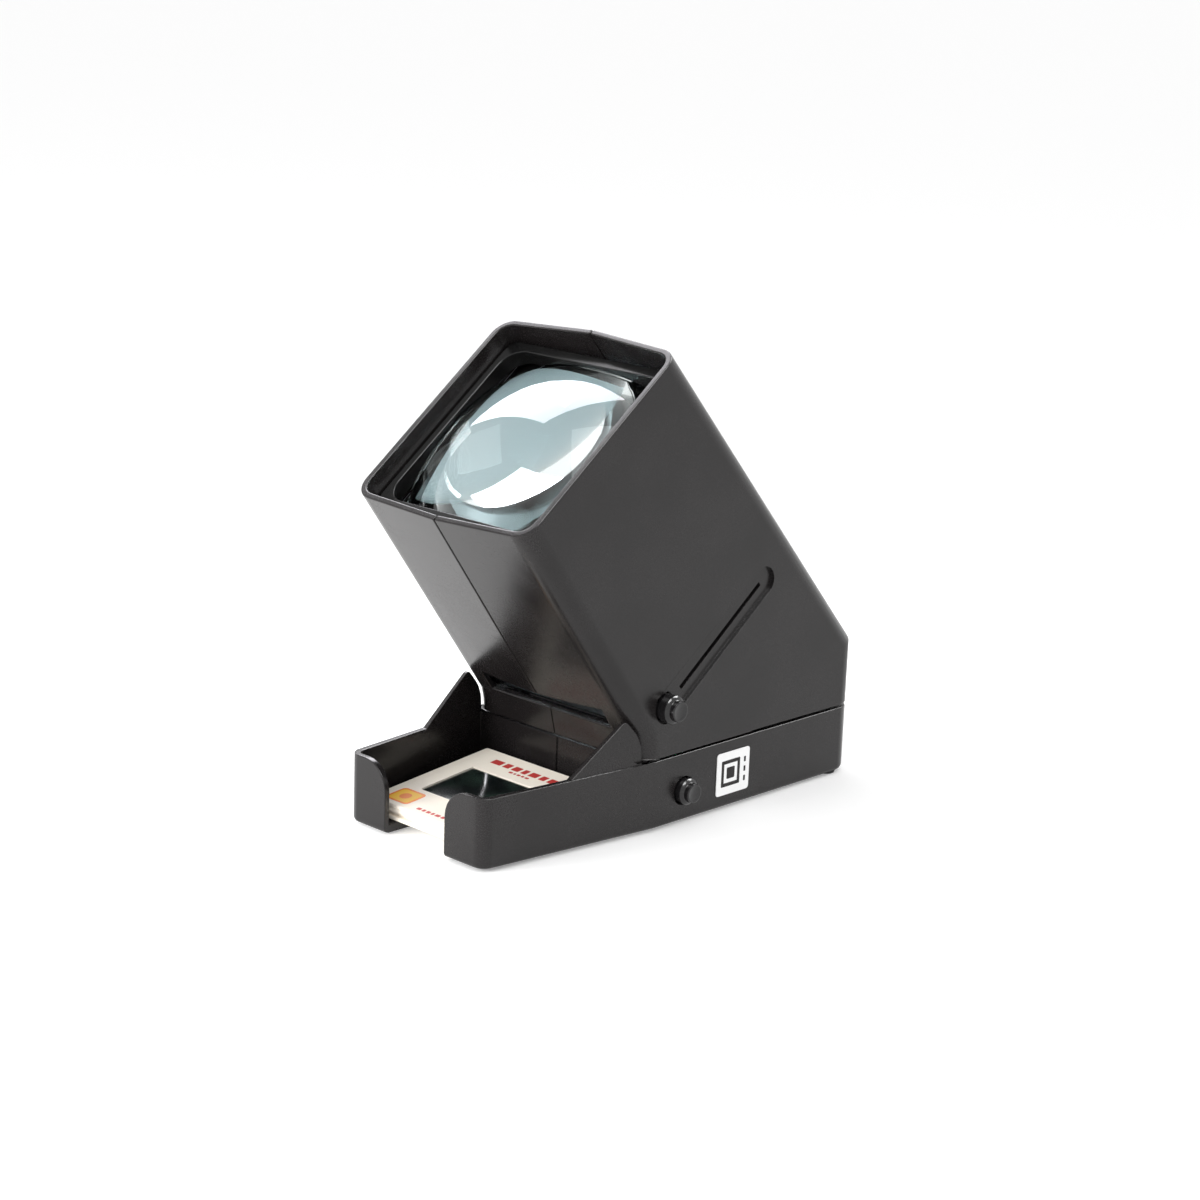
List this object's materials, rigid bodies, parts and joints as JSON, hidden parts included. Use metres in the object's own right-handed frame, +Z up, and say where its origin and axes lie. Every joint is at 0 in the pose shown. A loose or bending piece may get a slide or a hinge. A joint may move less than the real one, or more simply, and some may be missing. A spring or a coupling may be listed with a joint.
{
  "type": "slide viewer",
  "caption": "Desktop viewer for 35 mm slides and film strips: tilted hood with a large square magnifier, lit slide gate, push buttons and a catch tray in front.",
  "frame": {"origin": "middle of the footprint, on the surface that the feet stand on, in the plane between the two hood shells", "axes": "+X to the side with the push buttons, +Y from the slide tray to the rear, +Z up"},
  "size_m": [0.0822, 0.1634, 0.1532],
  "materials": {
    "housing": "satin warm black moulded ABS, very fine texture",
    "inner_plastic": "matt black moulded plastic",
    "button_plastic": "semi-gloss black plastic",
    "lens_acrylic": "polished clear acrylic",
    "rubber_feet": "matt black rubber",
    "steel_hardware": "bright plated steel",
    "light_box_white": "white reflector plastic",
    "opal_diffuser": "frosted opal acrylic",
    "circuit_board": "solder-masked circuit board",
    "led_package": "white LED package with yellow phosphor",
    "cell_wrap": "printed film sleeve, plain",
    "badge": "white print",
    "slide_mount": "cream card slide mount",
    "slide_film": "dark developed film"
  },
  "bodies": {
    "housing": {"base_deck": "inner_plastic", "base_screw_front_left": "steel_hardware", "base_screw_front_right": "steel_hardware", "base_screw_middle_left": "steel_hardware", "base_screw_middle_right": "steel_hardware", "base_shell": "housing", "battery_1": "cell_wrap", "battery_2": "cell_wrap", "battery_3": "cell_wrap", "battery_4": "cell_wrap", "battery_contact_left_1": "steel_hardware", "battery_contact_left_2_3": "steel_hardware", "battery_contact_left_4": "steel_hardware", "battery_contact_right_1_2": "steel_hardware", "battery_contact_right_3_4": "steel_hardware", "diffuser": "opal_diffuser", "foot_front_left": "rubber_feet", "foot_front_right": "rubber_feet", "foot_rear_left": "rubber_feet", "foot_rear_right": "rubber_feet", "gate_front_plate": "inner_plastic", "hood_shell_left": "housing", "hood_shell_right": "housing", "led_1": "led_package", "led_2": "led_package", "led_3": "led_package", "led_4": "led_package", "led_board": "circuit_board", "lens_bezel": "inner_plastic", "lens_seat": "inner_plastic", "light_box": "light_box_white", "magnifier_lens": "lens_acrylic", "power_spring": "steel_hardware", "power_switch": "inner_plastic", "release_guide_pin": "steel_hardware", "release_spring": "steel_hardware", "side_badge": "badge", "slide_bed": "inner_plastic", "stop_gate_pin": "steel_hardware", "stop_gate_spring": "steel_hardware"},
    "release_button": {"release_button": "button_plastic"},
    "stop_gate": {"stop_gate": "button_plastic"},
    "power_button": {"power_button": "button_plastic"},
    "battery_door": {"battery_door": "housing"},
    "slide_stack": {"slide_film_1": "slide_film", "slide_film_2": "slide_film", "slide_film_3": "slide_film", "slide_film_4": "slide_film", "slide_mount_1": "slide_mount", "slide_mount_2": "slide_mount", "slide_mount_3": "slide_mount", "slide_mount_4": "slide_mount"}
  },
  "joints": [
    {"name": "release_press", "type": "slide", "parent": "housing", "child": "release_button", "axis": [-1, 0, 0], "range_m": [0, 0.004], "stiffness_N_per_m": 300, "springref_m": -0.004},
    {"name": "stop_gate_tilt", "type": "hinge", "parent": "housing", "child": "stop_gate", "pos_m": [0, -0.01505, 0.032], "axis": [-1, 0, 0], "range_deg": [0, 15]},
    {"name": "power_press", "type": "slide", "parent": "housing", "child": "power_button", "axis": [-1, 0, 0], "range_m": [0, 0.0025], "stiffness_N_per_m": 400, "springref_m": -0.003},
    {"name": "battery_door_slide", "type": "slide", "parent": "housing", "child": "battery_door", "axis": [0, 1, 0], "range_m": [0, 0.068]},
    {"name": "slide_stack_tilt", "type": "hinge", "parent": "housing", "child": "slide_stack", "pos_m": [0, -0.02683, 0.00941], "axis": [-1, 0, 0], "range_deg": [0, 40]}
  ],
  "couplings": [
    {"joint": "stop_gate_tilt", "follows": "release_press", "rad_per_m": 65.4}
  ]
}
